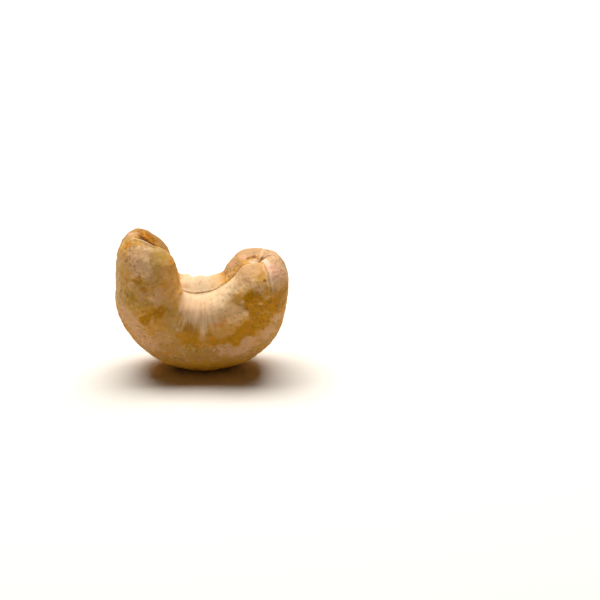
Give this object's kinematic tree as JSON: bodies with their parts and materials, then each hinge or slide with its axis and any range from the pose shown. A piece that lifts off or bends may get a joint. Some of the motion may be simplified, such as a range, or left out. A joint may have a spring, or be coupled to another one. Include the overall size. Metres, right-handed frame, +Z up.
{
  "type": "cashew kernel",
  "caption": "Whole roasted cashew kernel, a kidney-shaped seed of two halves with a seam, standing on its curved back with both tips up.",
  "frame": {"origin": "on the table, under the middle of the kernel's box", "axes": "+X from the taller, cleft tip to the lower tip with the root pit, +Y from the near half to the far half, +Z up out of the hollow"},
  "size_m": [0.023, 0.0109, 0.0195],
  "materials": {
    "kernel": null
  },
  "bodies": {
    "root": {"cashew_kernel": "kernel"}
  },
  "joints": []
}
